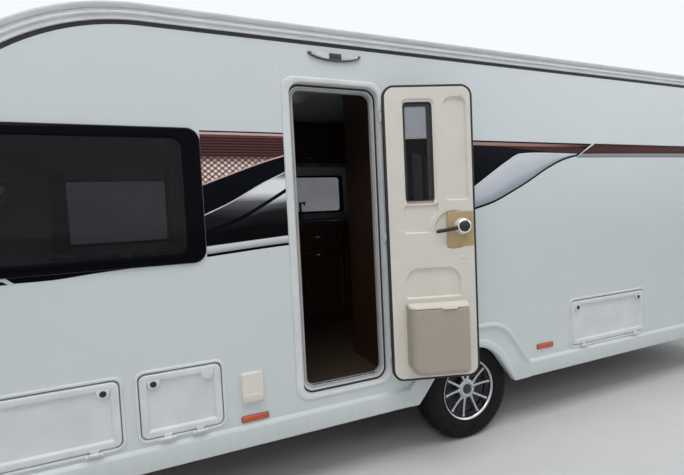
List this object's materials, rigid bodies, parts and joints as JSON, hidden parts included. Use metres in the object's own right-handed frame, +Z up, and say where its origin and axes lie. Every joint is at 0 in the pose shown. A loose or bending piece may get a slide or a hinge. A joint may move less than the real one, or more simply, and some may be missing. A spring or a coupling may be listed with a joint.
{
  "type": "travel caravan",
  "caption": "Single-axle travel caravan with open entrance door, side lockers, gas locker, windows, A-frame with jockey wheel, and corner steadies.",
  "frame": {"origin": "centre of the tow ball socket in the coupling head, level, with the caravan standing on its wheels and jockey wheel", "axes": "+X forward along the drawbar, +Y to the nearside where the entrance door is, +Z up"},
  "size_m": [7.3659, 2.5313, 2.607],
  "materials": {
    "body_white": "satin gloss",
    "trim_white": "satin",
    "cream_plastic": "satin",
    "black_plastic": "gloss",
    "dark_plastic": "matte",
    "grey_plastic": "matte",
    "window": "tinted acrylic",
    "galvanised": "galvanised",
    "black_metal": "satin",
    "alloy": "machined and lacquered",
    "tyre": "matte",
    "upholstery": "woven, matte",
    "board": "satin laminate",
    "worktop": "satin",
    "floor": "matte",
    "amber": "gloss",
    "red_lens": "gloss",
    "clear_lens": "clear",
    "zinc": "zinc plated"
  },
  "bodies": {
    "body": {"chassis": "galvanised", "a_frame": "galvanised", "axle": "black_metal", "coupling": "black_metal", "floor_panel": "floor", "wall_nearside": "body_white", "wall_offside": "body_white", "roof_panel": "body_white", "front_panel": "body_white", "rear_panel": "body_white", "edge_rails": "trim_white", "side_skirts": "body_white", "door_frame": "trim_white", "side_window_panes": "window", "side_window_borders": "black_plastic", "end_window_panes": "window", "end_window_borders": "black_plastic", "rooflights": "trim_white", "locker_frames": "trim_white", "furniture": "board", "locker_cupboards": "board", "seat_cushions": "upholstery", "worktop": "worktop", "side_reflectors": "amber", "rear_lamps": "red_lens", "front_lamps": "clear_lens", "awning_lamp": "clear_lens", "socket_box": "cream_plastic", "fridge_vents": "trim_white", "rear_bumper": "body_white", "number_plate": "grey_plastic", "grab_handles": "trim_white", "frame_fairing": "grey_plastic", "jockey_clamp": "zinc"},
    "wheel_nearside": {"tyre_nearside": "tyre", "rim_nearside": "alloy"},
    "wheel_offside": {"tyre_offside": "tyre", "rim_offside": "alloy"},
    "entrance_door": {"door_leaf": "cream_plastic", "door_window": "window", "door_bin": "cream_plastic", "door_handles": "black_plastic"},
    "door_bin_lid": {"door_bin_lid": "cream_plastic"},
    "front_locker_door": {"front_locker_door": "trim_white"},
    "middle_locker_door": {"middle_locker_door": "trim_white"},
    "rear_locker_door": {"rear_locker_door": "trim_white"},
    "cassette_door": {"cassette_door": "trim_white"},
    "gas_locker_lid": {"gas_locker_lid": "body_white"},
    "jockey_leg": {"jockey_leg": "zinc"},
    "jockey_fork": {"jockey_fork": "zinc"},
    "jockey_wheel": {"jockey_wheel": "dark_plastic"},
    "steady_front_nearside": {"steady_front_nearside": "zinc"},
    "steady_front_offside": {"steady_front_offside": "zinc"},
    "steady_rear_nearside": {"steady_rear_nearside": "zinc"},
    "steady_rear_offside": {"steady_rear_offside": "zinc"}
  },
  "joints": [
    {"name": "wheel_nearside_spin", "type": "hinge", "parent": "body", "child": "wheel_nearside", "pos_m": [-4.35, 0.98, -0.105], "axis": [0, 1, 0], "continuous": true},
    {"name": "wheel_offside_spin", "type": "hinge", "parent": "body", "child": "wheel_offside", "pos_m": [-4.35, -0.98, -0.105], "axis": [0, 1, 0], "continuous": true},
    {"name": "entrance_door_hinge", "type": "hinge", "parent": "body", "child": "entrance_door", "pos_m": [-3.744, 1.13, 0.935], "axis": [0, 0, 1], "range_deg": [-162.3, 7.7]},
    {"name": "bin_lid_hinge", "type": "hinge", "parent": "entrance_door", "child": "door_bin_lid", "pos_m": [-3.97189, 1.26781, 0.542], "axis": [0.9527, -0.304, 0], "range_deg": [0, 70]},
    {"name": "front_locker_hinge", "type": "hinge", "parent": "body", "child": "front_locker_door", "pos_m": [-2.03, 1.13, 0.056], "axis": [-1, 0, 0], "range_deg": [0, 165]},
    {"name": "middle_locker_hinge", "type": "hinge", "parent": "body", "child": "middle_locker_door", "pos_m": [-2.6175, 1.13, 0.059], "axis": [-1, 0, 0], "range_deg": [0, 165]},
    {"name": "rear_locker_hinge", "type": "hinge", "parent": "body", "child": "rear_locker_door", "pos_m": [-5.6275, 1.13, 0.046], "axis": [-1, 0, 0], "range_deg": [0, 165]},
    {"name": "cassette_hinge", "type": "hinge", "parent": "body", "child": "cassette_door", "pos_m": [-6.49, -1.13, 0.056], "axis": [1, 0, 0], "range_deg": [0, 165]},
    {"name": "gas_locker_lid_hinge", "type": "hinge", "parent": "body", "child": "gas_locker_lid", "pos_m": [-1.16308, 0, 0.53104], "axis": [0, -1, 0], "range_deg": [0, 85]},
    {"name": "jockey_leg_slide", "type": "slide", "parent": "body", "child": "jockey_leg", "axis": [0, 0, 1], "range_m": [0, 0.15]},
    {"name": "jockey_fork_swivel", "type": "hinge", "parent": "jockey_leg", "child": "jockey_fork", "pos_m": [-0.35, -0.25719, -0.213], "axis": [0, 0, 1], "continuous": true},
    {"name": "jockey_wheel_spin", "type": "hinge", "parent": "jockey_fork", "child": "jockey_wheel", "pos_m": [-0.39, -0.25719, -0.33], "axis": [0, 1, 0], "continuous": true},
    {"name": "steady_front_nearside_hinge", "type": "hinge", "parent": "body", "child": "steady_front_nearside", "pos_m": [-1.7, 0.8, -0.168], "axis": [0, -1, 0], "range_deg": [0, 42]},
    {"name": "steady_front_offside_hinge", "type": "hinge", "parent": "body", "child": "steady_front_offside", "pos_m": [-1.7, -0.8, -0.168], "axis": [0, -1, 0], "range_deg": [0, 42]},
    {"name": "steady_rear_nearside_hinge", "type": "hinge", "parent": "body", "child": "steady_rear_nearside", "pos_m": [-6.8, 0.8, -0.168], "axis": [0, 1, 0], "range_deg": [0, 42]},
    {"name": "steady_rear_offside_hinge", "type": "hinge", "parent": "body", "child": "steady_rear_offside", "pos_m": [-6.8, -0.8, -0.168], "axis": [0, 1, 0], "range_deg": [0, 42]}
  ]
}
